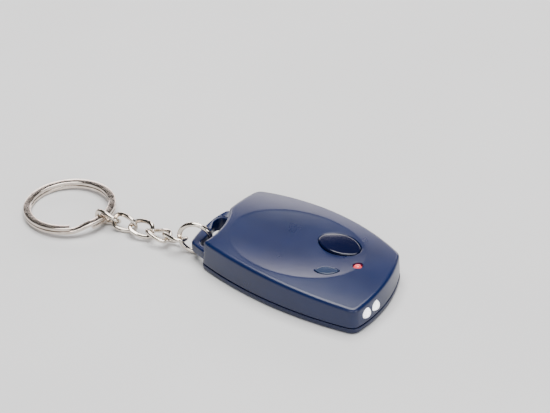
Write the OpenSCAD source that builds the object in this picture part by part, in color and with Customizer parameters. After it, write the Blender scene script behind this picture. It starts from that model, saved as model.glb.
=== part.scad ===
// Keychain flashlight: a two part plastic fob with two white LEDs in its nose,
// a big and a small push button in a dished top, and a twisted-link chain
// with a split ring on the loop at its back corner.
// Units are millimetres. +X runs along the fob to the LEDs, +Y to the far side, +Z up.
// The origin lies under the middle of the fob on the table.

/* [Node] */
// Which piece to draw

/* [Fob shell] */
// Height of the highest point of the crowned top
crest_h = 9.9; // [9.7:0.1:10.3]
// Height of the parting line between base and top
part_z = 1.6; // [1.5:0.1:1.7]
// Thickness of the outer walls
wall = 1.4; // [1.3:0.05:1.5]
// Thickness of the floor of the base
floor_t = 1.2; // [1.1:0.05:1.2]
// Thickness of the top under the crown and the dish
roof_t = 1.2; // [1.1:0.05:1.25]
// How far the walls lean inwards over their full height
draft = 0.55; // [0.3:0.05:0.7]

/* [Dish] */
// Height of the deepest point of the dish
dish_z = 8.1; // [8.05:0.05:8.4]
// Curvature radius across the dish
dish_across_r = 94; // [85:1:105]
// Curvature radius along the dish
dish_along_r = 167; // [150:1:185]
// Turn of the dish's long axis from the fob's long axis
dish_turn = 22; // [18:1:26]

/* [Buttons] */
// Half length of the main button
main_half_l = 6.1; // [5.6:0.1:6.4]
// Half width of the main button
main_half_w = 4.0; // [3.6:0.1:4.2]
// Half length of the small button
small_half_l = 3.1; // [2.9:0.1:3.3]
// Half width of the small button
small_half_w = 1.6; // [1.5:0.05:1.7]
// Gap between a button and its opening
button_gap = 0.15; // [0.1:0.01:0.2]

/* [Lights] */
// Radius of a white LED
led_r = 1.5; // [1.4:0.05:1.55]
// Radius of the red indicator LED
red_r = 1.2; // [1.0:0.05:1.25]

/* [Chain] */
// Outer length of a chain link
link_l = 7.8; // [7.7:0.05:7.9]
// Outer width of a chain link
link_w = 5.4; // [5.3:0.05:5.5]
// Wire radius of a chain link
link_wire_r = 0.6; // [0.55:0.01:0.62]
// Outer diameter of the split ring
split_d = 25; // [24.8:0.1:25.2]

/* [Hidden] */
$fn = 96;
big_fn = 360;
wire_fn = 32;

// the four side arcs of the fob: near side, front, far side, rear
arc_c = [[1, 80.4], [-14.4, -7], [-2, -44.4], [34.2, 4]];
arc_r = [98, 41, 62, 60];
// corner radii between each arc and the next
corner_r = [2.6, 3, 3, 3];

parting_gap = 0.3;
crest_x = -8;
crown_across_r = 120;
crown_along_r = 300;
dish_c = [1.6, -1.7];

// concave relief in the rear wall and the loop that stands in front of it
relief_c = [-40, -10];
relief_r = 18;
loop_c = [-14, -6.3];
loop_r = 15;
loop_z0 = 2.3;
loop_z1 = 5.3;
loop_far_z = 7.7;
bar_r = 14.3;
slot_r1 = 18.3;
slot_a0 = -0.7;
slot_a1 = 27;

screw_xy = [[-19.6, 11], [14.6, 10.4], [-16.5, -12.6], [12.5, -13]];
boss_r = 2;
boss_z = 1.98;
pilot_r = 0.78;
cell_c = [-11, 0];
cell_r = 10;
cell_z = 1.5;
cell_t = 1.6;
board_z = 3.35;
board_t = 0.8;
board_top = board_z + board_t;
post_xy = [[3, 11.2], [3, -12], [15.6, -1.4]];

main_c = [7.1, 5.7];
main_top = 9.2;
small_c = [11, -5.6];
small_turn = 33;
small_top = 8.95;
flange_z = 6.4;
flange_t = 0.45;
switch_h = 1.5;
plunger_r = 1;

led_y = [-9.6, -5.7];
led_z = 4.4;
led_tip_x = 27.2;
red_c = [16.2, 0.7];
red_top = 8.9;

ring_c = [-27.8, -10.4, 4.95];
ring_turn = 23;
ring_r = 4.3;
ring_wire_r = 0.65;
// link centres with heading, climb and roll of the left half, nearest the fob first
link_c = [[-33.5, -11.95, 3.3], [-38.67, -12.26, 2.7], [-43.88, -12.9, 2.7],
  [-49.07, -13.68, 2.7], [-54.24, -14.64, 2.62]];
link_heading = [0, 6, 8, 9, 10.6];
link_climb = [16.3, 0, 0, 0, 1.2];
link_roll = [-39, -5, 35, 75, 113.6];
link_twist = 27;
split_c = [-66.7, -15.73, 1.87];
split_tilt = 3.7;
split_t = 1.0;
split_w = 2.0;
split_ramp = 30;
split_turn = 326;

// centre of a corner rounding tangent to two arcs
function meet(i, j, r) =
  let (d = norm(arc_c[j] - arc_c[i]),
    u = (arc_c[j] - arc_c[i]) / d,
    a = ((arc_r[i] - r) * (arc_r[i] - r) - (arc_r[j] - r) * (arc_r[j] - r) + d * d) / (2 * d),
    h = sqrt((arc_r[i] - r) * (arc_r[i] - r) - a * a))
  arc_c[i] + a * u + h * [-u[1], u[0]];

// a slab with the fob's outline, drawn in by low at its bottom and by high at its top
module slab(z0, z1, low, high) {
  h = z1 - z0;
  translate([0, 0, z0]) difference() {
    intersection_for (i = [0 : 3])
      translate(arc_c[i])
        cylinder(h = h, r1 = arc_r[i] - low, r2 = arc_r[i] - high, $fn = big_fn);
    for (i = [0 : 3]) {
      j = (i + 1) % 4;
      r = corner_r[i];
      k = meet(i, j, r);
      u = (k - arc_c[i]) / norm(k - arc_c[i]);
      v = (k - arc_c[j]) / norm(k - arc_c[j]);
      m = (u + v) / norm(u + v);
      translate(k) difference() {
        translate([0, 0, -1])
          linear_extrude(h + 2) polygon([[0, 0], 2.4 * r * u, 4 * r * m, 2.4 * r * v]);
        cylinder(h = h, r1 = max(0.3, r - low), r2 = max(0.3, r - high));
      }
    }
  }
}

// a barrel lying along X whose lowest or highest line touches z = 0
module barrel(across_r, along_r) {
  rotate([0, 90, 0]) rotate_extrude($fn = big_fn) intersection() {
    translate([across_r - along_r, 0]) circle(along_r, $fn = 720);
    translate([0, -60]) square([across_r + 1, 120]);
  }
}

// everything below the crowned top, lowered by drop
module below_crown(drop) {
  translate([crest_x, 0, crest_h - drop - crown_across_r])
    barrel(crown_across_r, crown_along_r);
}

// everything inside the dish, lowered by drop
module dish(drop) {
  translate([dish_c[0], dish_c[1], dish_z - drop + dish_across_r])
    rotate([0, 0, dish_turn]) barrel(dish_across_r, dish_along_r);
}

module relief(r, z0, z1) {
  translate([relief_c[0], relief_c[1], z0]) cylinder(h = z1 - z0, r = r, $fn = big_fn);
}

// an oval made of two side arcs and two end arcs
module oval(half_l, half_w, end_r) {
  c = half_l - end_r;
  big = (c * c + half_w * half_w - end_r * end_r) / (2 * (half_w - end_r));
  t = 3 * half_l * [c, big - half_w] / (big - end_r);
  translate([c, 0]) circle(end_r);
  translate([-c, 0]) circle(end_r);
  intersection() {
    translate([0, half_w - big]) circle(big, $fn = 180);
    translate([0, big - half_w]) circle(big, $fn = 180);
    polygon([[c, 0], [c + t[0], t[1]], [-c - t[0], t[1]], [-c, 0],
      [-c - t[0], -t[1]], [c + t[0], -t[1]]]);
  }
}

// a pointed oval made of two arcs
module almond(half_l, half_w) {
  big = (half_l * half_l + half_w * half_w) / (2 * half_w);
  intersection() {
    translate([0, half_w - big]) circle(big, $fn = 180);
    translate([0, big - half_w]) circle(big, $fn = 180);
  }
}

module base_shell() {
  color([0.36, 0.38, 0.55]) difference() {
    union() {
      difference() {
        union() {
          slab(0, 0.7, 0.6, 0);
          slab(0.7, part_z, 0, 0);
        }
        difference() {
          slab(floor_t, part_z + 1, wall + 0.1, wall + 0.1);
          relief(relief_r + wall, 0, 5);
        }
        relief(relief_r, -1, 3);
      }
      base_inside();
    }
    for (p = screw_xy) translate([p[0], p[1], -1]) {
      cylinder(h = 4, r = 0.95);
      cylinder(h = 1.9, r = 1.7);
    }
  }
}

// lip, screw seats, cell pocket and board posts that stand on the base's floor
module base_inside() {
  difference() {
    slab(floor_t - 0.2, 2.8, wall + 0.25, wall + 0.25);
    slab(floor_t - 0.3, 3, wall + 0.95, wall + 0.95);
    relief(relief_r + wall + 0.1, 0, 5);
    for (p = screw_xy) translate([p[0], p[1], 1.7]) cylinder(h = 2, r = boss_r + 0.15);
  }
  for (p = screw_xy) translate([p[0], p[1], floor_t - 0.2])
    cylinder(h = boss_z - floor_t + 0.2, r = boss_r);
  for (p = post_xy) translate([p[0], p[1], floor_t - 0.2])
    cylinder(h = board_z - floor_t + 0.2, r = 1.2);
  translate([cell_c[0], cell_c[1], floor_t - 0.2]) difference() {
    cylinder(h = 3, r = cell_r + 1);
    translate([0, 0, -1]) cylinder(h = 5, r = cell_r + 0.15);
    translate([3, -15, -1]) cube([20, 30, 5]);
  }
}

module top_shell() {
  color([0.34, 0.37, 0.56]) difference() {
    union() {
      difference() {
        shell_form();
        shell_space();
      }
      loop();
      intersection() {
        shell_form();
        top_posts();
      }
    }
    for (p = screw_xy) translate([p[0], p[1], 0]) cylinder(h = 6.4, r = pilot_r);
    translate([main_c[0], main_c[1], 4]) linear_extrude(8)
      oval(main_half_l + button_gap, main_half_w + button_gap, 2.6 + button_gap);
    translate([small_c[0], small_c[1], 4]) rotate([0, 0, small_turn]) linear_extrude(8)
      almond(small_half_l + 1.5 * button_gap, small_half_w + button_gap);
    translate([red_c[0], red_c[1], 4]) cylinder(h = 8, r = red_r + 0.15);
    for (y = led_y) translate([20, y, led_z]) rotate([0, 90, 0])
      cylinder(h = 12, r = led_r + 0.05);
  }
}

// outside of the top shell without its loop
module shell_form() {
  difference() {
    intersection() {
      slab(part_z + parting_gap, part_z + 10, 0.1, 0.1 + draft);
      below_crown(0);
    }
    dish(0);
    relief(relief_r, 0, 20);
  }
}

// room inside the top shell
module shell_space() {
  difference() {
    intersection() {
      slab(part_z, part_z + 10, wall + 0.1, wall + 0.1 + draft);
      below_crown(roof_t);
    }
    dish(roof_t);
    relief(relief_r + wall, 0, 20);
  }
}

// screw bosses and the pins that hold the board down
module top_posts() {
  for (p = screw_xy) translate([p[0], p[1], boss_z]) cylinder(h = 9, r = boss_r);
  for (i = [0 : 1]) translate([post_xy[i][0], post_xy[i][1], board_top]) cylinder(h = 6, r = 0.9);
}

// the bar at the back corner that carries the jump ring, with its slot
module loop() {
  difference() {
    intersection() {
      slab(loop_z0, loop_far_z, -4, -4);
      translate([loop_c[0], loop_c[1], loop_z0])
        cylinder(h = loop_far_z - loop_z0, r = loop_r, $fn = big_fn);
      translate([arc_c[0][0], arc_c[0][1], loop_z0])
        cylinder(h = loop_far_z - loop_z0, r = arc_r[0] - 0.6, $fn = big_fn);
      relief(relief_r + 0.7, loop_z0, loop_far_z);
    }
    // the bar is level where the jump ring hangs and climbs to the far shoulder
    translate([-60, 0, 0]) rotate([90, 0, 90]) linear_extrude(80)
      polygon([[-40, loop_z1], [-5, loop_z1], [1.5, loop_far_z - 0.2], [1.5, 20], [-40, 20]]);
    translate([relief_c[0], relief_c[1], loop_z0 - 1]) rotate([0, 0, slot_a0])
      rotate_extrude(angle = slot_a1 - slot_a0, $fn = big_fn)
        translate([bar_r, 0]) square([slot_r1 - bar_r, 8]);
    for (a = [slot_a0, slot_a1]) translate([relief_c[0], relief_c[1], loop_z0 - 1])
      rotate([0, 0, a]) translate([(bar_r + slot_r1) / 2, 0, 0])
        cylinder(h = 8, r = (slot_r1 - bar_r) / 2);
  }
}

module case_screw(i) {
  color([0.62, 0.62, 0.64]) translate([screw_xy[i][0], screw_xy[i][1], 0]) difference() {
    union() {
      translate([0, 0, 0.15]) cylinder(h = 0.75, r = 1.5);
      cylinder(h = 5.9, r = 0.75);
    }
    translate([0, 0, -0.1]) cylinder(h = 0.25, r = 3);
    translate([-1.1, -0.16, -0.1]) cube([2.2, 0.32, 0.6]);
    translate([-0.16, -1.1, -0.1]) cube([0.32, 2.2, 0.6]);
  }
}

module circuit_board() {
  color([0.10, 0.33, 0.20]) difference() {
    intersection() {
      slab(board_z, board_top, wall + 0.8, wall + 0.8);
      translate([0.6, -30, 0]) cube([17, 60, 20]);
    }
    for (p = screw_xy) translate([p[0], p[1], 0]) cylinder(h = 9, r = boss_r + 0.3);
  }
}

module switch_body(c) {
  color([0.12, 0.12, 0.13]) translate([c[0] - 2.25, c[1] - 2.25, board_top]) difference() {
    cube([4.5, 4.5, switch_h]);
    translate([2.25, 2.25, switch_h - 0.5]) cylinder(h = 1, r = plunger_r + 0.06);
  }
}

module plunger(c) {
  z0 = board_top + switch_h - 0.15;
  color([0.75, 0.72, 0.65]) translate([c[0], c[1], z0])
    cylinder(h = flange_z - z0, r = plunger_r);
}

module controller_chip() {
  color([0.07, 0.07, 0.08]) translate([0, 0, board_top]) {
    translate([3.2, -9.2, 0.1]) cube([3.9, 4.9, 1.3]);
    for (i = [0 : 3]) {
      translate([2.2, -8.85 + 1.27 * i, 0]) cube([1.05, 0.4, 0.6]);
      translate([7.05, -8.85 + 1.27 * i, 0]) cube([1.05, 0.4, 0.6]);
    }
  }
}

module chip_part(x, y, l, w, h) {
  translate([x, y, board_top]) cube([l, w, h]);
}

module red_led() {
  color([0.9, 0.12, 0.08]) translate([red_c[0], red_c[1], 5]) {
    cylinder(h = 0.6, r = red_r + 0.3);
    cylinder(h = red_top - 5 - red_r, r = red_r);
    translate([0, 0, red_top - 5 - red_r]) sphere(red_r);
  }
}

module red_led_lead(s) {
  color([0.7, 0.7, 0.72]) translate([red_c[0] - 0.25, red_c[1] + 0.65 * s - 0.25, board_top])
    cube([0.5, 0.5, 5 - board_top]);
}

module white_led(y) {
  color([0.92, 0.94, 1]) translate([0, y, led_z]) rotate([0, 90, 0]) {
    translate([0, 0, 20.6]) cylinder(h = 0.9, r = led_r + 0.3);
    translate([0, 0, 20.6]) cylinder(h = led_tip_x - led_r - 20.6, r = led_r);
    translate([0, 0, led_tip_x - led_r]) sphere(led_r);
  }
}

module white_led_lead(y, s) {
  color([0.7, 0.7, 0.72]) translate([15.2, y + s - 0.25, board_top]) cube([5.4, 0.5, 0.5]);
}

module coin_cell(z) {
  color([0.75, 0.76, 0.78]) translate([cell_c[0], cell_c[1], z]) {
    cylinder(h = 0.3, r = cell_r - 1.1);
    translate([0, 0, 0.25]) cylinder(h = cell_t - 0.25, r = cell_r);
  }
}

module contact_positive() {
  z = cell_z + 2 * cell_t;
  color([0.78, 0.68, 0.42]) {
    translate([-12, -2, z]) cube([14.2, 4, 0.2]);
    translate([2, -2, board_top]) cube([0.2, 4, z - board_top + 0.2]);
    translate([2, -2, board_top]) cube([0.9, 4, 0.2]);
  }
}

module contact_negative() {
  color([0.78, 0.68, 0.42]) {
    translate([cell_c[0], cell_c[1], floor_t]) cylinder(h = cell_z - floor_t, r = 4);
    translate([-9, -1.5, floor_t]) cube([10.4, 3, 0.2]);
    translate([1.2, -1.5, floor_t]) cube([0.2, 3, board_z - floor_t]);
    translate([1.2, -1.5, board_z - 0.2]) cube([1.8, 3, 0.2]);
  }
}

module main_button() {
  color([0.10, 0.14, 0.38]) translate([main_c[0], main_c[1], 0]) {
    translate([0, 0, flange_z]) linear_extrude(flange_t)
      oval(main_half_l + 0.7, main_half_w + 0.7, 3.3);
    intersection() {
      translate([0, 0, flange_z + 0.2]) linear_extrude(4)
        oval(main_half_l, main_half_w, 2.6);
      translate([0, 0, main_top - 24]) sphere(24, $fn = big_fn);
    }
  }
}

module small_button() {
  color([0.30, 0.34, 0.52]) translate([small_c[0], small_c[1], 0])
    rotate([0, 0, small_turn]) {
      translate([0, 0, flange_z]) linear_extrude(flange_t)
        almond(small_half_l + 0.9, small_half_w + 0.5);
      intersection() {
        translate([0, 0, flange_z + 0.2]) linear_extrude(4) almond(small_half_l, small_half_w);
        translate([0, 0, small_top - 12]) sphere(12, $fn = big_fn);
      }
    }
}

module jump_ring() {
  color([0.78, 0.76, 0.72]) translate(ring_c) rotate([90, 0, ring_turn]) difference() {
    rotate_extrude() translate([ring_r, 0]) circle(ring_wire_r, $fn = wire_fn);
    rotate([0, 0, 68]) translate([0, -0.06, -2]) cube([9, 0.12, 4]);
  }
}

// point at angle a of the oval centre line of a link, before it is twisted
function oval_at(a) =
  let (mean_r = link_w / 2 - link_wire_r, half = link_l / 2 - link_wire_r - mean_r)
  [mean_r * cos(a) + half * sin_step(cos(a)), mean_r * sin(a)];

// eases from -1 to 1 so that the two straight sides join the round ends smoothly
function sin_step(c) = sin(90 * max(-1, min(1, 1.6 * c)));

// the same point with the link twisted evenly about its length
function link_at(a) =
  let (p = oval_at(a), t = link_twist * p[0] / (link_l / 2 - link_wire_r))
  [p[0], p[1] * cos(t), p[1] * sin(t)];

// a twisted oval of round wire
module curb_link() {
  n = 40;
  m = 12;
  points = [for (i = [0 : n - 1])
    let (a = 360 * i / n,
      t = link_at(a + 1) - link_at(a - 1),
      q = link_at(a),
      w = link_twist * q[0] / (link_l / 2 - link_wire_r),
      side = cross(t, [0, -sin(w), cos(w)]),
      u = side / norm(side),
      v = cross(u, t) / norm(t))
    for (j = [0 : m - 1])
      q + link_wire_r * (cos(360 * j / m) * u + sin(360 * j / m) * v)];
  faces = [for (i = [0 : n - 1]) for (j = [0 : m - 1])
    let (k = (i + 1) % n, l = (j + 1) % m)
    for (f = [0, 1])
      f == 0 ? [i * m + j, i * m + l, k * m + l] : [i * m + j, k * m + l, k * m + j]];
  polyhedron(points, faces);
}

module chain_link(i) {
  color([0.80, 0.78, 0.74]) translate(link_c[i])
    rotate([0, -link_climb[i], link_heading[i]]) rotate([link_roll[i], 0, 0]) curb_link();
}

// flat wire wound twice round: each turn stays flat except where it climbs to the next level
module split_ring() {
  r0 = split_d / 2 - split_w;
  rise = split_t + 0.05;
  climb = atan(rise / ((r0 + split_w / 2) * split_ramp * PI / 180));
  color([0.74, 0.74, 0.75]) translate(split_c) rotate([0, -split_tilt, 0])
    rotate([0, 0, split_turn]) translate([0, 0, -rise / 2 - split_t / 2]) {
      wire_arc(r0, split_ramp / 2, 360 - split_ramp / 2 - 2);
      translate([0, 0, rise]) wire_arc(r0, split_ramp / 2 + 2, 360 - split_ramp / 2);
      translate([0, 0, rise / 2]) rotate([climb, 0, 0])
        wire_arc(r0, -split_ramp / 2 - 1, split_ramp / 2 + 1);
    }
}

// flat wire from angle a to angle b
module wire_arc(r0, a, b) {
  rotate([0, 0, a]) rotate_extrude(angle = b - a) translate([r0, 0]) square([split_w, split_t]);
}

base_shell();
top_shell();
case_screw(0);  // case_screw_1
case_screw(1);  // case_screw_2
case_screw(2);  // case_screw_3
case_screw(3);  // case_screw_4
circuit_board();
switch_body(main_c);  // main_switch
plunger(main_c);  // main_plunger
switch_body(small_c);  // small_switch
plunger(small_c);  // small_plunger
controller_chip();
color([0.1, 0.1, 0.1]) chip_part(9, -11.2, 2, 1.2, 0.5);  // resistor_1
color([0.1, 0.1, 0.1]) chip_part(6, -11.2, 2, 1.2, 0.5);  // resistor_2
color([0.1, 0.1, 0.1]) chip_part(13, 4.2, 2, 1.2, 0.5);  // resistor_3
color([0.6, 0.5, 0.35]) chip_part(9.5, -1, 2, 1.2, 0.9);  // capacitor
red_led();
red_led_lead(1);  // red_led_anode
red_led_lead(-1);  // red_led_cathode
white_led(led_y[0]);  // white_led_1
white_led_lead(led_y[0], 1);  // white_led_1_anode
white_led_lead(led_y[0], -1);  // white_led_1_cathode
white_led(led_y[1]);  // white_led_2
white_led_lead(led_y[1], 1);  // white_led_2_anode
white_led_lead(led_y[1], -1);  // white_led_2_cathode
coin_cell(cell_z);  // coin_cell_lower
coin_cell(cell_z + cell_t);  // coin_cell_upper
contact_positive();
contact_negative();
main_button();
small_button();
jump_ring();
chain_link(0);  // chain_link_1
chain_link(1);  // chain_link_2
chain_link(2);  // chain_link_3
chain_link(3);  // chain_link_4
chain_link(4);  // chain_link_5
split_ring();
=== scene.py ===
"""Looks of the keychain flashlight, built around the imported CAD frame.

Lengths are millimetres until a mesh is made; the stage, lights and material depths are in metres.
"""
import math

import bmesh
import bpy
import numpy as np
from mathutils import Matrix, Vector
from mathutils.geometry import tessellate_polygon


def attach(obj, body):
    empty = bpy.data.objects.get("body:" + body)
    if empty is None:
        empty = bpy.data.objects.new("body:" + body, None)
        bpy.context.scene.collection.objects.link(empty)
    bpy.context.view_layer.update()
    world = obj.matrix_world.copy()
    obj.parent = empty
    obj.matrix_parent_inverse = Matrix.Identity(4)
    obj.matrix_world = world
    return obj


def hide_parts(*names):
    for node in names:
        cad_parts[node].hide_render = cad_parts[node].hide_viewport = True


MM = 0.001
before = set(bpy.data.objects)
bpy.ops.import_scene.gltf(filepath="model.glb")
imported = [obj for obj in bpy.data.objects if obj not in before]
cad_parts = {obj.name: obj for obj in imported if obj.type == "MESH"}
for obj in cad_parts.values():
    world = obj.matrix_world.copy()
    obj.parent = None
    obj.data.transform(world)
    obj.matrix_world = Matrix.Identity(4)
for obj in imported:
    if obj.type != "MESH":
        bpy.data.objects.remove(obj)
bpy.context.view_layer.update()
scene = bpy.context.scene

# ---------------------------------------------------------------- camera
CAMERA_AT, CAMERA_AIM = (278.8, -389.7, 356.2), (-23.76, 19.25, 0)
LENS, SENSOR, NEAR_CLIP = 150, 36, 0.01

cam_data = bpy.data.cameras.new("camera")
cam_data.lens = LENS
cam_data.sensor_width = SENSOR
cam_data.clip_start = NEAR_CLIP
camera = bpy.data.objects.new("camera", cam_data)
scene.collection.objects.link(camera)
scene.camera = camera
camera.location = Vector(CAMERA_AT) * MM
target = Vector(CAMERA_AIM) * MM
camera.rotation_euler = (target - camera.location).to_track_quat("-Z", "Y").to_euler()

# ---------------------------------------------------------------- shape numbers, as in the CAD
# the outline: four arcs, the radii of the corners between them, and the hollow at the loop's corner
ARC_C = [(1, 80.4), (-14.4, -7), (-2, -44.4), (34.2, 4)]
ARC_R = [98, 41, 62, 60]
CORNER_R = [2.6, 3, 3, 3]
RELIEF_C, RELIEF_R = (-40, -10), 18
# heights of the parting line and of the top shell's lower edge
PART_Z, SHELL_Z = 1.6, 1.9
# the crowned top: where its crest lies, its radii along and across, its greatest height
CREST_X, CROWN_LONG_R, CROWN_CROSS_R, CROWN_Z = -8, 300, 120, 9.9
# the dish: centre, turn, radii along and across, its lowest height, the width that eases its rim
DISH_C, DISH_TURN = (1.6, -1.7), math.radians(22)
DISH_LONG_R, DISH_CROSS_R, DISH_Z, RIM_EASE = 167, 94, 8.1, 0.035
SCREWS = [(-19.6, 11), (14.6, 10.4), (-16.5, -12.6), (12.5, -13)]
# buttons: places, half lengths and widths (and end radius), and the openings round them
MAIN_C, MAIN_OVAL, MAIN_OPENING = (7.1, 5.7), (6.1, 4.0, 2.6), (6.25, 4.15, 2.75)
SMALL_C, SMALL_TURN = (11, -5.6), math.radians(33)
SMALL_ALMOND, SMALL_OPENING = (3.1, 1.6), (3.325, 1.75)
FLANGE_Z0, FLANGE_Z1 = 6.4, 6.85
RED_C, RED_OPENING_R = (16.2, 0.7), 1.35
LED_Y, LED_Z = (-9.6, -5.7), 4.4
# each link's centre, heading, climb and roll in degrees
LINKS = [((-33.5, -11.95, 3.3), 0, 16.3, -39), ((-38.67, -12.26, 2.7), 6, 0, -5),
         ((-43.88, -12.9, 2.7), 8, 0, 35), ((-49.07, -13.68, 2.7), 9, 0, 75),
         ((-54.24, -14.64, 2.62), 10.6, 1.2, 113.6)]
RING_C, RING_TURN = (-27.8, -10.4, 4.95), 23
SPLIT_C, SPLIT_TILT, SPLIT_TURN = (-66.7, -15.73, 1.87), 3.7, 326

# ---------------------------------------------------------------- mesh fineness and edge easing
OUTLINE_RAYS, BUTTON_RAYS, LOOP_RAYS = 2400, 720, 1440
CORNER_EASE, NORMAL_BLEND = 0.5, 1.3
GAUSS_REACH = 3
EDGE_ANGLE, WIRE_EDGE_ANGLE, SOFT_EDGE_ANGLE = 32, 45, 50


def unit(a):
    return np.array((math.cos(a), math.sin(a)))


def turn_steps(n):
    """Even steps of one full turn, in radians."""
    return np.linspace(0, 2 * math.pi, n, endpoint=False)


def arc_steps(n):
    """Steps of a quarter turn, both ends included."""
    return [math.pi / 2 * k / n for k in range(n + 1)]


def crown_z(x, y):
    s = x - CREST_X
    r = CROWN_CROSS_R - (CROWN_LONG_R - np.sqrt(CROWN_LONG_R**2 - s * s))
    return CROWN_Z - CROWN_CROSS_R + np.sqrt(r * r - y * y)


def dish_z(x, y):
    dx, dy = x - DISH_C[0], y - DISH_C[1]
    u = dx * math.cos(DISH_TURN) + dy * math.sin(DISH_TURN)
    v = -dx * math.sin(DISH_TURN) + dy * math.cos(DISH_TURN)
    r = DISH_CROSS_R - (DISH_LONG_R - np.sqrt(DISH_LONG_R**2 - u * u))
    return DISH_Z + DISH_CROSS_R - np.sqrt(r * r - v * v)


def top_z(x, y):
    """Crowned top with the dish worn into it; the rim between them is eased over a hair."""
    a, b = crown_z(x, y), dish_z(x, y)
    return np.minimum(a, b) - RIM_EASE * np.exp(-np.abs(a - b) / RIM_EASE) / 2


def meet(i, j, r):
    """Centre of the corner arc of radius r between two arcs of the outline."""
    ci, cj = np.array(ARC_C[i], float), np.array(ARC_C[j], float)
    d = np.linalg.norm(cj - ci)
    u = (cj - ci) / d
    ri, rj = ARC_R[i] - r, ARC_R[j] - r
    a = (ri * ri - rj * rj + d * d) / (2 * d)
    return ci + a * u + math.sqrt(ri * ri - a * a) * np.array((-u[1], u[0]))


def hit_inside(o, d, c, r):
    """How far a ray from o runs inside a circle."""
    oc = np.array(o) - np.array(c)
    b = oc @ d
    disc = b * b - (oc @ oc - r * r)
    return -b + math.sqrt(disc) if disc > 0 else None


def resample(p, n):
    """The same closed outline as n evenly spaced points."""
    q = np.vstack([p, p[:1]])
    s = np.r_[0, np.cumsum(np.linalg.norm(np.diff(q, axis=0), axis=1))]
    t = np.linspace(0, s[-1], n, endpoint=False)
    return np.stack([np.interp(t, s, q[:, k]) for k in range(q.shape[1])], 1)


def soften(p, width):
    """Rounds the corners of a closed, evenly spaced outline."""
    step = np.linalg.norm(p[1] - p[0])
    half = max(1, int(round(GAUSS_REACH * width / step)))
    w = np.exp(-0.5 * (np.arange(-half, half + 1) * step / width) ** 2)
    w /= w.sum()
    return sum(w[k + half] * np.roll(p, k, axis=0) for k in range(-half, half + 1))


def outward(p, width=0.0):
    """Outward directions of an outline; a width blends them round tight corners so that insets don't fold."""
    t = np.roll(p, -1, axis=0) - np.roll(p, 1, axis=0)
    t /= np.linalg.norm(t, axis=1)[:, None]
    n = np.stack([t[:, 1], -t[:, 0]], 1)
    if width:
        step = np.linalg.norm(p[1] - p[0])
        half = int(round(GAUSS_REACH * width / step))
        n = sum(math.exp(-0.5 * (k * step / width) ** 2) * np.roll(n, k, axis=0)
                for k in range(-half, half + 1))
        n /= np.linalg.norm(n, axis=1)[:, None]
    return n


def corner_hit(d, i):
    """How far a ray from the middle runs to the corner arc after arc i, or None if it misses the corner."""
    j = (i + 1) % len(ARC_C)
    r = CORNER_R[i]
    k = meet(i, j, r)
    u = (k - ARC_C[i]) / np.linalg.norm(k - ARC_C[i])
    v = (k - ARC_C[j]) / np.linalg.norm(k - ARC_C[j])
    h = hit_inside((0, 0), d, k, r)
    if h is None:
        return None
    q = d * h - k
    side = u[0] * v[1] - u[1] * v[0]
    in_corner = (u[0] * q[1] - u[1] * q[0]) * side > 0 and (q[0] * v[1] - q[1] * v[0]) * side > 0
    return h if in_corner else None


def fob_outline(n):
    """The case seen from above: the nearest of its arcs, corners and corner hollow along each ray."""
    out = []
    for a in turn_steps(OUTLINE_RAYS):
        d = unit(a)
        t = min(hit_inside((0, 0), d, c, r) for c, r in zip(ARC_C, ARC_R))
        for i in range(len(ARC_C)):
            h = corner_hit(d, i)
            if h is not None:
                t = min(t, h)
        oc = -np.array(RELIEF_C, float)
        b = oc @ d
        disc = b * b - (oc @ oc - RELIEF_R**2)
        if disc > 0 and -b - math.sqrt(disc) > 0:
            t = min(t, -b - math.sqrt(disc))
        out.append(d * t)
    return soften(resample(np.array(out), n), CORNER_EASE)


# ---------------------------------------------------------------- mesh helpers
def make(name, verts, faces):
    me = bpy.data.meshes.new(name)
    me.from_pydata([tuple(float(c) * MM for c in v) for v in verts], [], faces)
    me.validate()
    bm = bmesh.new()
    bm.from_mesh(me)
    bmesh.ops.recalc_face_normals(bm, faces=bm.faces)
    bm.to_mesh(me)
    bm.free()
    for p in me.polygons:
        p.use_smooth = True
    ob = bpy.data.objects.new(name, me)
    scene.collection.objects.link(ob)
    return ob


def at_z(p, z):
    z = np.broadcast_to(z, (len(p),))
    return np.column_stack([p, z])


def lattice(rings, close=False):
    """Vertices and quads of a stack of equal closed rings."""
    n = len(rings[0])
    verts = [v for ring in rings for v in ring]
    faces = []
    last = len(rings) if close else len(rings) - 1
    for i in range(last):
        k = (i + 1) % len(rings)
        for j in range(n):
            m = (j + 1) % n
            faces.append((i * n + j, i * n + m, k * n + m, k * n + j))
    return verts, faces


def add_lattice(verts, faces, rings):
    """Appends a second stack of rings and returns the number of its first vertex."""
    off = len(verts)
    more, quads = lattice(rings)
    verts.extend(more)
    faces.extend(tuple(i + off for i in q) for q in quads)
    return off


def add_fan(verts, faces, start, n, tip):
    """Closes the ring of n vertices that begins at start with a point."""
    verts.append(tip)
    c = len(verts) - 1
    faces.extend((start + j, start + (j + 1) % n, c) for j in range(n))


def capped(name, rings, top=None, bottom=None):
    """Closed rings stacked from bottom to top, each end closed by a point or a flat cap."""
    verts, faces = lattice(rings)
    n = len(rings[0])
    for end, start in ((bottom, 0), (top, (len(rings) - 1) * n)):
        if end is None:
            ring = [Vector(map(float, verts[start + j])) for j in range(n)]
            for tri in tessellate_polygon([ring]):
                faces.append(tuple(start + t for t in tri))
        else:
            add_fan(verts, faces, start, n, end)
    return make(name, verts, faces)


def rounded(loop, nrm, r, z, steps, up=True):
    """Rings that round an edge by r: they rise from z and outwards, or back inwards and end at z."""
    order = arc_steps(steps) if up else reversed(arc_steps(steps))
    rise = r if up else -r
    return [at_z(loop - nrm * r * (1 - math.sin(f)), z + rise * (1 - math.cos(f))) for f in order]


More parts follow.
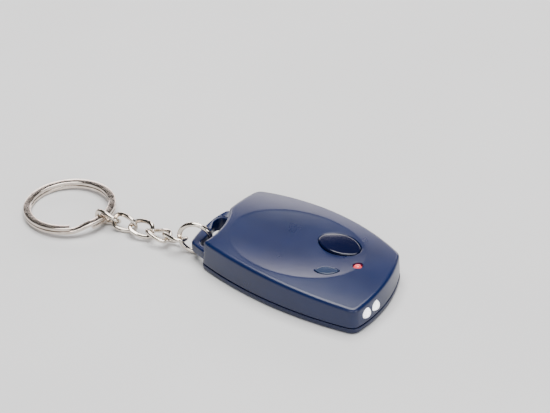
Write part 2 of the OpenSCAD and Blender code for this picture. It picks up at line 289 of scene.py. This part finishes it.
def revolve(name, profile, axis_matrix, n=72):
    """Profile points (radius, height) turned about an axis; its ends lie on the axis."""
    rings = []
    for r, z in profile[1:-1]:
        rings.append([tuple(axis_matrix @ Vector((r * math.cos(a), r * math.sin(a), z)))
                      for a in turn_steps(n)])
    return capped(name, rings, bottom=tuple(axis_matrix @ Vector((0, 0, profile[0][1]))),
                  top=tuple(axis_matrix @ Vector((0, 0, profile[-1][1]))))


def boolean(ob, cutter, how="DIFFERENCE"):
    mod = ob.modifiers.new("cut", "BOOLEAN")
    mod.operation = how
    mod.solver = "MANIFOLD"
    mod.object = cutter
    dg = bpy.context.evaluated_depsgraph_get()
    me = bpy.data.meshes.new_from_object(ob.evaluated_get(dg))
    ob.modifiers.clear()
    ob.data = me
    bpy.data.objects.remove(cutter)


def sharpen(ob, angle=EDGE_ANGLE):
    """Smooth faces with crisp edges where they turn by more than the angle."""
    bm = bmesh.new()
    bm.from_mesh(ob.data)
    for f in bm.faces:
        f.smooth = True
    for e in bm.edges:
        e.smooth = not (len(e.link_faces) == 2 and e.calc_face_angle(0) > math.radians(angle))
    bm.to_mesh(ob.data)
    bm.free()


# ---------------------------------------------------------------- openings in the roof
def oval_outline(half_l, half_w, end_r, n=240):
    """Two long arcs closed by two round ends."""
    c = half_l - end_r
    big = (c * c + half_w * half_w - end_r * end_r) / (2 * (half_w - end_r))
    # how steep the line is on which a long arc passes into an end; touch lets rounding pass
    slope, touch = c / (big - half_w), 0.999
    out = []
    for a in turn_steps(BUTTON_RAYS):
        d = unit(a)
        t = min(hit_inside((0, 0), d, (0, half_w - big), big), hit_inside((0, 0), d, (0, big - half_w), big))
        p = d * t
        if abs(p[0]) > c:
            k = np.array((math.copysign(c, d[0]), 0))
            e = hit_inside((0, 0), d, k, end_r)
            if e is not None:
                q = d * e - k
                if abs(q[0]) >= abs(q[1]) * slope * touch:
                    p = d * min(t, e)
        out.append(p)
    return resample(np.array(out), n)


def almond_outline(half_l, half_w, turn, n=200):
    """Two arcs that meet in two softened points, turned in its place."""
    tip_ease = 0.16
    big = (half_l**2 + half_w**2) / (2 * half_w)
    out = []
    for a in turn_steps(BUTTON_RAYS):
        d = unit(a)
        out.append(d * min(hit_inside((0, 0), d, (0, half_w - big), big),
                           hit_inside((0, 0), d, (0, big - half_w), big)))
    p = soften(resample(np.array(out), n), tip_ease)
    c, s = math.cos(turn), math.sin(turn)
    return p @ np.array([[c, s], [-s, c]])


def circle_outline(r, n=96):
    a = turn_steps(n)
    return np.stack([r * np.cos(a), r * np.sin(a)], 1)


def opening_cutter(outline, centre, flare):
    """A cutter through the roof whose rim opens by flare just under the surface."""
    low, high = 4.2, 12.0
    past_out, past_up = 2.2, 1.2
    nrm = outward(outline)
    rings = [at_z(outline + centre, low)]
    for t in (0, 0.33, 0.66, 1):
        w = flare * (1 - math.cos(t * math.pi / 2))
        p = outline + centre + w * nrm
        rings.append(at_z(p, top_z(p[:, 0], p[:, 1]) - flare * (1 - math.sin(t * math.pi / 2))))
    p = outline + centre + past_out * flare * nrm
    rings.append(at_z(p, top_z(p[:, 0], p[:, 1]) + past_up * flare))
    rings.append(at_z(p, high))
    return capped("cutter", rings)


def led_axis(y):
    """Turns a profile made along Z to lie along X, at a white LED's place."""
    return Matrix.Translation((0, y, LED_Z)) @ Matrix.Rotation(math.pi / 2, 4, "Y")


# ---------------------------------------------------------------- top shell
def build_top_shell():
    """A skirt, a leaning wall, a rolled edge and the dished top, with the roof's inner face below it."""
    n, wall_rings, top_rings, inner_rings = 720, 5, 92, 22
    fillet, chamfer, wall = 1.05, 0.12, 1.45
    skirt, draft, draft_h, rim_h = 0.1, 0.55, 9.7, 9
    roof, roof_inset, roof_edge = 1.25, 1.95, 1.3
    cove_inset, cove_drop = 1.6, 0.8
    base = fob_outline(n)
    nrm = outward(base, NORMAL_BLEND)

    def lean(z):
        return skirt + draft * (z - SHELL_Z) / draft_h

    rings = [at_z(base - nrm * wall, SHELL_Z)]
    for f in arc_steps(3):
        inset = skirt + chamfer * (1 - math.sin(f))
        rings.append(at_z(base - nrm * inset, SHELL_Z + chamfer * (1 - math.cos(f))))
    edge = base - nrm * (lean(rim_h) + fillet)
    edge_z = top_z(edge[:, 0], edge[:, 1])
    for k in range(1, wall_rings + 1):
        z = SHELL_Z + chamfer + (edge_z - fillet - SHELL_Z - chamfer) * k / wall_rings
        rings.append(at_z(base - nrm * lean(z)[:, None], z))
    wall_in = lean(edge_z - fillet)
    for f in arc_steps(8)[1:]:
        inset = wall_in + (lean(rim_h) + fillet - wall_in) * (1 - math.cos(f))
        p = base - nrm * inset[:, None]
        rings.append(at_z(p, edge_z - fillet * (1 - math.sin(f))))
    # the rings run together under the main button, whose opening cuts that point away
    hub = np.array(MAIN_C)
    hub_z = float(top_z(*MAIN_C))
    for t in np.linspace(1, 0, top_rings)[1:-1]:
        p = hub + (edge - hub) * t
        rings.append(at_z(p, top_z(p[:, 0], p[:, 1])))

    inner_edge = base - nrm * roof_inset
    cove_z = top_z(inner_edge[:, 0], inner_edge[:, 1]) - roof_edge - cove_drop
    inner = [at_z(base - nrm * cove_inset, cove_z)]
    for t in np.linspace(1, 0, inner_rings)[:-1]:
        p = hub + (inner_edge - hub) * t
        inner.append(at_z(p, np.minimum(crown_z(p[:, 0], p[:, 1]), dish_z(p[:, 0], p[:, 1])) - roof))

    verts, faces = lattice(rings)
    add_fan(verts, faces, (len(rings) - 1) * n, n, (*MAIN_C, hub_z))
    off = add_lattice(verts, faces, inner)
    faces += [(j, (j + 1) % n, off + (j + 1) % n, off + j) for j in range(n)]
    add_fan(verts, faces, off + (len(inner) - 1) * n, n, (*MAIN_C, hub_z - roof))

    shell = make("top_case", verts, faces)
    boolean(shell, build_loop(), "UNION")
    boolean(shell, opening_cutter(oval_outline(*MAIN_OPENING), MAIN_C, flare=0.24))
    boolean(shell, opening_cutter(almond_outline(*SMALL_OPENING, SMALL_TURN), SMALL_C, flare=0.2))
    boolean(shell, opening_cutter(circle_outline(RED_OPENING_R), RED_C, flare=0.12))
    led_bore = [(0, 20), (1.55, 20), (1.55, 30), (0, 30)]
    for y in LED_Y:
        boolean(shell, revolve("cutter", led_bore, led_axis(y)))
    sharpen(shell)
    return shell


def build_loop():
    """The rounded bar at the back corner with the slot that the jump ring runs in."""
    middle, nose_c, nose_r = np.array((-24.5, -5.5)), (-14, -6.3), 15
    side_in, slot_wall, root = 0.6, 0.9, 4
    z0, fillet, slot_fillet = 2.3, 0.55, 0.4
    bar_z, bar_rise, rise_y, rise_len = 5.3, 2.2, -5, 6.5
    outer_ease, slot_ease, normal_blend = 0.8, 0.1, 0.3
    slot_out_r, slot_mid_r, slot_in_r, slot_end_r = 18.3, 16.3, 14.3, 2
    a0, a1 = math.radians(-0.7), math.radians(27)

    out = []
    for a in turn_steps(LOOP_RAYS):
        d = unit(a)
        t = min(hit_inside(middle, d, nose_c, nose_r), hit_inside(middle, d, ARC_C[0], ARC_R[0] - side_in),
                hit_inside(middle, d, RELIEF_C, RELIEF_R + slot_wall),
                hit_inside(middle, d, ARC_C[3], ARC_R[3] + root))
        out.append(middle + d * t)
    outer = soften(resample(np.array(out), 420), outer_ease)

    rc = np.array(RELIEF_C, float)

    def slot_end(a, start):
        e = rc + slot_mid_r * unit(a)
        return [e + slot_end_r * unit(a + f) for f in np.linspace(start, start + math.pi, 24)[1:-1]]

    slot = [rc + slot_out_r * unit(a) for a in np.linspace(a0, a1, 60)] + slot_end(a1, 0)
    slot += [rc + slot_in_r * unit(a) for a in np.linspace(a1, a0, 60)] + slot_end(a0, math.pi)
    slot = soften(resample(np.array(slot), 300), slot_ease)

    def walls(loop, sign, r):
        nrm = outward(loop, normal_blend) * sign
        z1 = bar_z + bar_rise * np.clip((loop[:, 1] - rise_y) / rise_len, 0, 1)
        return rounded(loop, nrm, r, z0, 6) + rounded(loop, nrm, r, z1, 6, up=False)

    o, s = walls(outer, 1, fillet), walls(slot, -1, slot_fillet)
    verts, faces = lattice(o)
    off = add_lattice(verts, faces, s)
    no, ns = len(outer), len(slot)
    for ro, rs in ((0, 0), (len(o) - 1, len(s) - 1)):
        loops = [[Vector(map(float, v)) for v in o[ro]], [Vector(map(float, v)) for v in s[rs]]]
        index = [ro * no + j for j in range(no)] + [off + rs * ns + j for j in range(ns)]
        faces += [tuple(index[t] for t in tri) for tri in tessellate_polygon(loops)]
    return make("loop", verts, faces)


# ---------------------------------------------------------------- base shell
def build_base_shell():
    """A shallow tray with a rounded foot, a lip that stands inside the top shell, and four screw holes."""
    foot_r, rim_r = 0.75, 0.1
    lip = [(1.55, PART_Z), (1.7, 2.7), (2.2, 2.7), (2.3, 1.2)]
    screw_bore = [(0, -1), (1.78, -1), (1.78, 0), (1.7, 0.08), (1.7, 0.9), (0.95, 0.9), (0.95, 4), (0, 4)]
    base = fob_outline(700)
    nrm = outward(base, NORMAL_BLEND)
    rings = rounded(base, nrm, foot_r, 0, 6) + rounded(base, nrm, rim_r, PART_Z, 3, up=False)
    rings += [at_z(base - nrm * inset, z) for inset, z in lip]
    shell = capped("base_case", rings)
    for x, y in SCREWS:
        boolean(shell, revolve("cutter", screw_bore, Matrix.Translation((x, y, 0))))
    sharpen(shell)
    return shell


# ---------------------------------------------------------------- buttons
def build_button(name, outline, centre, top, dome_r, fillet, flange_w):
    """A low domed cap with a rounded edge, on a flange that holds it under the roof."""
    normal_blend, top_rings = 0.5, 26
    nrm = outward(outline, normal_blend)
    flange = outline + centre + nrm * flange_w
    rings = [at_z(flange, FLANGE_Z0), at_z(flange, FLANGE_Z1), at_z(outline + centre, FLANGE_Z1)]

    def dome(p):
        return top - dome_r + np.sqrt(dome_r**2 - (p**2).sum(1))

    edge = outline - nrm * fillet
    ez = dome(edge)
    for f in arc_steps(7):
        p = outline + centre - nrm * fillet * (1 - math.cos(f))
        rings.append(at_z(p, ez - fillet * (1 - math.sin(f))))
    for t in np.linspace(1, 0, top_rings)[1:-1]:
        rings.append(at_z(edge * t + centre, dome(edge * t)))
    ob = capped(name, rings, top=(centre[0], centre[1], top))
    sharpen(ob, SOFT_EDGE_ANGLE)
    return ob


# ---------------------------------------------------------------- lights
def led_profile(r, flange_r, z0, flange_z, tip, chamfer=0.1, n=14):
    """Half section of a moulded lamp: chamfered flange, straight body, round tip."""
    prof = [(0, z0), (flange_r - chamfer, z0), (flange_r, z0 + chamfer), (flange_r, flange_z - chamfer),
            (flange_r - chamfer, flange_z), (r, flange_z)]
    for f in arc_steps(n)[:-1]:
        prof.append((r * math.cos(f), tip - r + r * math.sin(f)))
    return prof + [(0, tip)]


# ---------------------------------------------------------------- wire parts
def sweep(name, centres, us, vs, section, closed):
    rings = []
    for c, u, v in zip(centres, us, vs):
        rings.append([tuple(c + a * u + b * v) for a, b in section])
    if closed:
        return make(name, *lattice(rings, close=True))
    return capped(name, rings)


def coil(a, r, z):
    """Points of a coil round Z with their outward and upward directions."""
    points = np.stack([r * np.cos(a), r * np.sin(a), z], 1)
    return points, np.stack([np.cos(a), np.sin(a), 0 * a], 1), np.tile((0, 0, 1.0), (len(a), 1))


def round_section(r, m):
    return [(r * math.cos(t), r * math.sin(t)) for t in turn_steps(m)]


def place(ob, m):
    m = Matrix.Translation(m.translation * MM) @ m.to_3x3().to_4x4()
    ob.data.transform(m)
    return ob


def rot(x, y, z):
    return (Matrix.Rotation(math.radians(z), 4, "Z") @ Matrix.Rotation(math.radians(y), 4, "Y")
            @ Matrix.Rotation(math.radians(x), 4, "X"))


def build_link(i):
    """A twisted oval of round wire, ground slightly flat on its two broad faces."""
    mean_r, half, squareness = 2.1, 1.2, 1.6
    twist, reach = 27, 3.3
    wire_r, flat = 0.6 - 0.005, 0.52

    def at(a):
        x = mean_r * np.cos(a) + half * np.sin(math.pi / 2 * np.clip(squareness * np.cos(a), -1, 1))
        y = mean_r * np.sin(a)
        t = np.radians(twist * x / reach)
        return np.stack([x, y * np.cos(t), y * np.sin(t)], -1)

    a = turn_steps(160)
    e = math.radians(1)
    t = at(a + e) - at(a - e)
    q = at(a)
    w = np.radians(twist * q[:, 0] / reach)
    side = np.cross(t, np.stack([0 * w, -np.sin(w), np.cos(w)], -1))
    u = side / np.linalg.norm(side, axis=1)[:, None]
    v = np.cross(u, t) / np.linalg.norm(t, axis=1)[:, None]
    section = [(x, max(-flat, min(flat, y))) for x, y in round_section(wire_r, 28)]
    ob = sweep(f"link_{i + 1}_wire", q, u, v, section, True)
    c, heading, climb, roll = LINKS[i]
    return place(ob, Matrix.Translation(c) @ rot(0, -climb, heading) @ rot(roll, 0, 0))


def build_jump_ring():
    """One turn of round wire whose ends almost meet."""
    start, end, mean_r, wire_r = 68.9, 427.1, 4.3, 0.648
    a = np.radians(np.linspace(start, end, 220))
    ob = sweep("jump_ring_wire", *coil(a, mean_r, 0 * a), round_section(wire_r, 28), False)
    sharpen(ob, WIRE_EDGE_ANGLE)
    return place(ob, Matrix.Translation(RING_C) @ rot(90, 0, RING_TURN))


def build_split_ring():
    """Two turns of flat wire side by side, with the ramp where one passes into the other."""
    start, end, ramp_at, ramp_len = 15, 705, 345, 30
    mean_r, pitch = 11.5, 1.05
    half_w, half_h, r, corner_points = 0.995, 0.495, 0.26, 6
    deg = np.linspace(start, end, 460)
    level = np.clip((deg - ramp_at) / ramp_len, 0, 1)
    level = level * level * (3 - 2 * level) - 0.5
    section = []
    for sx, sy, s0 in ((1, 1, 0), (-1, 1, 90), (-1, -1, 180), (1, -1, 270)):
        for k in range(corner_points):
            f = math.radians(s0 + 90 // (corner_points - 1) * k)
            section.append((sx * (half_w - r) + r * math.cos(f), sy * (half_h - r) + r * math.sin(f)))
    ob = sweep("split_ring_wire", *coil(np.radians(deg), mean_r, pitch * level), section, False)
    sharpen(ob, SOFT_EDGE_ANGLE)
    return place(ob, Matrix.Translation(SPLIT_C) @ rot(0, -SPLIT_TILT, 0) @ rot(0, 0, SPLIT_TURN))


# ---------------------------------------------------------------- materials
def material(name):
    m = bpy.data.materials.new(name)
    m.use_nodes = True
    nt = m.node_tree
    return m, nt, nt.nodes["Principled BSDF"]


def node(nt, kind, **values):
    """A node with its properties or sockets set by name."""
    n = nt.nodes.new(kind)
    for k, v in values.items():
        if hasattr(n, k) and k not in n.inputs:
            setattr(n, k, v)
        else:
            n.inputs[k].default_value = v
    return n


def coords(nt, scale=(1, 1, 1)):
    tc = node(nt, "ShaderNodeTexCoord")
    mp = node(nt, "ShaderNodeMapping")
    mp.inputs["Scale"].default_value = scale
    nt.links.new(tc.outputs["Object"], mp.inputs["Vector"])
    return mp.outputs["Vector"]


def noise(nt, vec, scale, detail=3, rough=0.5):
    n = node(nt, "ShaderNodeTexNoise", Scale=scale, Detail=detail, Roughness=rough)
    nt.links.new(vec, n.inputs["Vector"])
    return n.outputs["Fac"]


def ramp(nt, fac, low, high, start=0.3, stop=0.7):
    """Blends two colours over a band of the input."""
    r = node(nt, "ShaderNodeValToRGB")
    for e, pos, col in zip(r.color_ramp.elements, (start, stop), (low, high)):
        e.position = pos
        e.color = (*col, 1)
    nt.links.new(fac, r.inputs["Fac"])
    return r.outputs["Color"]


def spread(nt, fac, lo, hi, a=0.3, b=0.7):
    r = node(nt, "ShaderNodeMapRange", clamp=True)
    for k, v in (("From Min", a), ("From Max", b), ("To Min", lo), ("To Max", hi)):
        r.inputs[k].default_value = v
    nt.links.new(fac, r.inputs["Value"])
    return r.outputs["Result"]


def bump(nt, bsdf, layers):
    last = None
    for height, strength, distance in layers:
        b = node(nt, "ShaderNodeBump", Strength=strength, Distance=distance)
        nt.links.new(height, b.inputs["Height"])
        if last is not None:
            nt.links.new(last, b.inputs["Normal"])
        last = b.outputs["Normal"]
    nt.links.new(last, bsdf.inputs["Normal"])


def dimmer(colour, share):
    return tuple(c * share for c in colour)


def plastic(name, dark, light, rough, coat, grain=0.25):
    """Moulded plastic: cloudy colour, fine spark grain, uneven gloss."""
    cloud_scale, gloss_scale, grain_scale, grain_depth = 90, 120, 1500, 0.00001
    m, nt, b = material(name)
    v = coords(nt)
    cloud = noise(nt, v, cloud_scale, 4)
    nt.links.new(ramp(nt, cloud, dark, light), b.inputs["Base Color"])
    gloss = noise(nt, v, gloss_scale, 3, 0.5)
    nt.links.new(spread(nt, gloss, rough - 0.02, rough + 0.03), b.inputs["Roughness"])
    bump(nt, b, [(noise(nt, v, grain_scale, 2), grain * 0.25, grain_depth)])
    b.inputs["Specular IOR Level"].default_value = 0.42
    b.inputs["Coat Weight"].default_value = coat
    b.inputs["Coat Roughness"].default_value = 0.22
    return m


def metal(name, dark, light, rough, streaks=(1, 1, 1)):
    """Plated or bare metal: uneven tarnish, fine rubbing marks in the roughness and the surface."""
    tarnish_scale, rub_scale, wave_scale = 420, 1400, 500
    scratch, scratch_depth, wave, wave_depth = 0.18, 0.000004, 0.3, 0.00001
    m, nt, b = material(name)
    b.inputs["Metallic"].default_value = 1
    tarnish = noise(nt, coords(nt), tarnish_scale, 5, 0.6)
    nt.links.new(ramp(nt, tarnish, dark, light, stop=0.65), b.inputs["Base Color"])
    rub = noise(nt, coords(nt, streaks), rub_scale, 4, 0.6)
    nt.links.new(spread(nt, rub, rough - 0.04, rough + 0.06), b.inputs["Roughness"])
    waves = noise(nt, coords(nt), wave_scale, 1)
    bump(nt, b, [(rub, scratch, scratch_depth), (waves, wave, wave_depth)])
    return m


def lens(name, tint, glow, strength):
    """Moulded epoxy dome that glows a little unevenly."""
    cloud_scale = 700
    m, nt, b = material(name)
    cloud = noise(nt, coords(nt), cloud_scale, 2)
    nt.links.new(ramp(nt, cloud, dimmer(tint, 0.82), tint), b.inputs["Base Color"])
    nt.links.new(ramp(nt, cloud, dimmer(glow, 0.8), glow), b.inputs["Emission Color"])
    b.inputs["Emission Strength"].default_value = strength
    nt.links.new(spread(nt, cloud, 0.05, 0.12), b.inputs["Roughness"])
    b.inputs["Transmission Weight"].default_value = 0.35
    b.inputs["IOR"].default_value = 1.5
    return m


case_mat = plastic("case_navy", dark=(0.0010, 0.0065, 0.043), light=(0.0015, 0.0088, 0.055),
                   rough=0.29, coat=0.08, grain=0.12)
base_mat = plastic("case_navy_base", dark=(0.0008, 0.0050, 0.034), light=(0.0012, 0.0066, 0.043),
                   rough=0.32, coat=0.06, grain=0.12)
main_mat = plastic("button_deep_navy", dark=(0.0004, 0.0018, 0.018), light=(0.0006, 0.0026, 0.025),
                   rough=0.12, coat=0.2, grain=0.03)
# the small button's navy is lightened to grey-blue: a painted reflection of the light that its top catches
small_button_painted_sheen_mat = plastic("button_navy_painted_sheen", dark=(0.0085, 0.0190, 0.052), light=(0.0120, 0.0260, 0.068),
                    rough=0.24, coat=0.4, grain=0.05)
chrome = metal("chain_nickel", dark=(0.52, 0.46, 0.39), light=(0.76, 0.69, 0.61), rough=0.13)
steel = metal("split_ring_steel", dark=(0.50, 0.43, 0.37), light=(0.70, 0.62, 0.55), rough=0.15,
              streaks=(1, 1, 5))
screw_mat = metal("screw_steel", dark=(0.42, 0.42, 0.43), light=(0.60, 0.60, 0.62), rough=0.26,
                  streaks=(6, 1, 1))
white_lens = lens("lens_white", tint=(0.95, 0.96, 1.0), glow=(1.0, 0.99, 0.98), strength=1.1)
red_lens = lens("lens_red", tint=(0.80, 0.05, 0.07), glow=(1.0, 0.13, 0.16), strength=0.55)
board_mat = plastic("board_green", dark=(0.012, 0.075, 0.030), light=(0.020, 0.110, 0.045),
                    rough=0.35, coat=0.5, grain=0.2)
black_mat = plastic("part_black", dark=(0.010, 0.010, 0.011), light=(0.020, 0.020, 0.022),
                    rough=0.45, coat=0.1)
ivory_mat = plastic("plunger_ivory", dark=(0.50, 0.46, 0.36), light=(0.60, 0.56, 0.46),
                    rough=0.45, coat=0.1)
ceramic_mat = plastic("capacitor_tan", dark=(0.26, 0.18, 0.10), light=(0.34, 0.25, 0.15),
                      rough=0.5, coat=0.1)
tin_mat = metal("lead_tin", dark=(0.50, 0.50, 0.51), light=(0.66, 0.66, 0.68), rough=0.3,
                streaks=(1, 8, 1))
cell_mat = metal("cell_steel", dark=(0.55, 0.56, 0.57), light=(0.72, 0.73, 0.74), rough=0.22,
                 streaks=(8, 1, 1))
brass_mat = metal("contact_brass", dark=(0.48, 0.34, 0.13), light=(0.66, 0.50, 0.22), rough=0.28,
                  streaks=(8, 1, 1))

NODE_MATS = {"circuit_board": board_mat, "main_switch": black_mat, "small_switch": black_mat,
             "controller_chip": black_mat, "resistor_1": black_mat, "resistor_2": black_mat,
             "resistor_3": black_mat, "capacitor": ceramic_mat, "main_plunger": ivory_mat,
             "small_plunger": ivory_mat, "coin_cell_lower": cell_mat, "coin_cell_upper": cell_mat,
             "contact_positive": brass_mat, "contact_negative": brass_mat}
for name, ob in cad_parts.items():
    mat = NODE_MATS.get(name)
    if name.startswith("case_screw"):
        mat = screw_mat
    if name.endswith("anode") or name.endswith("cathode"):
        mat = tin_mat
    if mat is not None:
        for s in ob.material_slots:
            s.material = mat


# ---------------------------------------------------------------- the pieces
def finish_piece(ob, body, cad_node, mat):
    ob.data.materials.clear()
    ob.data.materials.append(mat)
    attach(ob, body)
    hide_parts(cad_node)


finish_piece(build_top_shell(), "fob", "top_shell", case_mat)
finish_piece(build_base_shell(), "fob", "base_shell", base_mat)
finish_piece(build_button("main_button_cap", oval_outline(*MAIN_OVAL), MAIN_C,
                          top=9.05, dome_r=42, fillet=0.4, flange_w=0.65),
             "main_button", "main_button", main_mat)
finish_piece(build_button("small_button_cap", almond_outline(*SMALL_ALMOND, SMALL_TURN), SMALL_C,
                          top=8.82, dome_r=30, fillet=0.22, flange_w=0.45),
             "small_button", "small_button", small_button_painted_sheen_mat)
for i, y in enumerate(LED_Y):
    profile = led_profile(r=1.495, flange_r=1.79, z0=20.61, flange_z=21.49, tip=27.19)
    finish_piece(revolve(f"white_led_{i + 1}_lens", profile, led_axis(y)),
                 "fob", f"white_led_{i + 1}", white_lens)
profile = led_profile(r=1.195, flange_r=1.49, z0=5.01, flange_z=5.59, tip=8.89)
finish_piece(revolve("red_led_lens", profile, Matrix.Translation((*RED_C, 0))),
             "fob", "red_led", red_lens)
finish_piece(build_jump_ring(), "jump_ring", "jump_ring", chrome)
for i in range(len(LINKS)):
    finish_piece(build_link(i), f"link_{i + 1}", f"chain_link_{i + 1}", chrome)
finish_piece(build_split_ring(), "split_ring", "split_ring", steel)

# ---------------------------------------------------------------- floor and light, in metres
FLOOR_HALF = 3
floor_mat, nt, b = material("floor_pale")
nt.links.new(ramp(nt, noise(nt, coords(nt), 9, 3), (0.60, 0.60, 0.60), (0.64, 0.64, 0.64)),
             b.inputs["Base Color"])
b.inputs["Roughness"].default_value = 0.8
me = bpy.data.meshes.new("floor")
me.from_pydata([(-FLOOR_HALF, -FLOOR_HALF, 0), (FLOOR_HALF, -FLOOR_HALF, 0),
                (FLOOR_HALF, FLOOR_HALF, 0), (-FLOOR_HALF, FLOOR_HALF, 0)], [], [(0, 1, 2, 3)])
me.materials.append(floor_mat)
floor = bpy.data.objects.new("floor", me)
scene.collection.objects.link(floor)

world = bpy.data.worlds.new("studio")
world.use_nodes = True
world.node_tree.nodes["Background"].inputs["Color"].default_value = (0.92, 0.95, 1.0, 1)
world.node_tree.nodes["Background"].inputs["Strength"].default_value = 0.07
scene.world = world


def area_light(name, at, aim, size, power, color):
    data = bpy.data.lights.new(name, "AREA")
    data.shape = "RECTANGLE"
    data.size, data.size_y = size
    data.energy = power
    data.color = color
    ob = bpy.data.objects.new(name, data)
    ob.location = at
    ob.rotation_euler = (Vector(aim) - ob.location).to_track_quat("-Z", "Y").to_euler()
    scene.collection.objects.link(ob)


area_light("top", at=(-0.05, 0.10, 0.90), aim=(-0.02, 0, 0), size=(0.8, 0.8), power=21,
           color=(1.0, 0.99, 0.98))
area_light("back", at=(-0.62, 0.98, 0.36), aim=(0.0, 0, 0.05), size=(1.5, 0.34), power=11,
           color=(1.0, 0.94, 0.95))
area_light("front", at=(0.35, -0.65, 0.35), aim=(0, 0, 0), size=(0.5, 0.4), power=2.2,
           color=(0.97, 0.98, 1.0))
area_light("side", at=(0.85, -0.15, 0.30), aim=(0.02, 0, 0), size=(0.35, 0.35), power=3.0,
           color=(0.95, 0.97, 1.0))

bpy.context.view_layer.update()
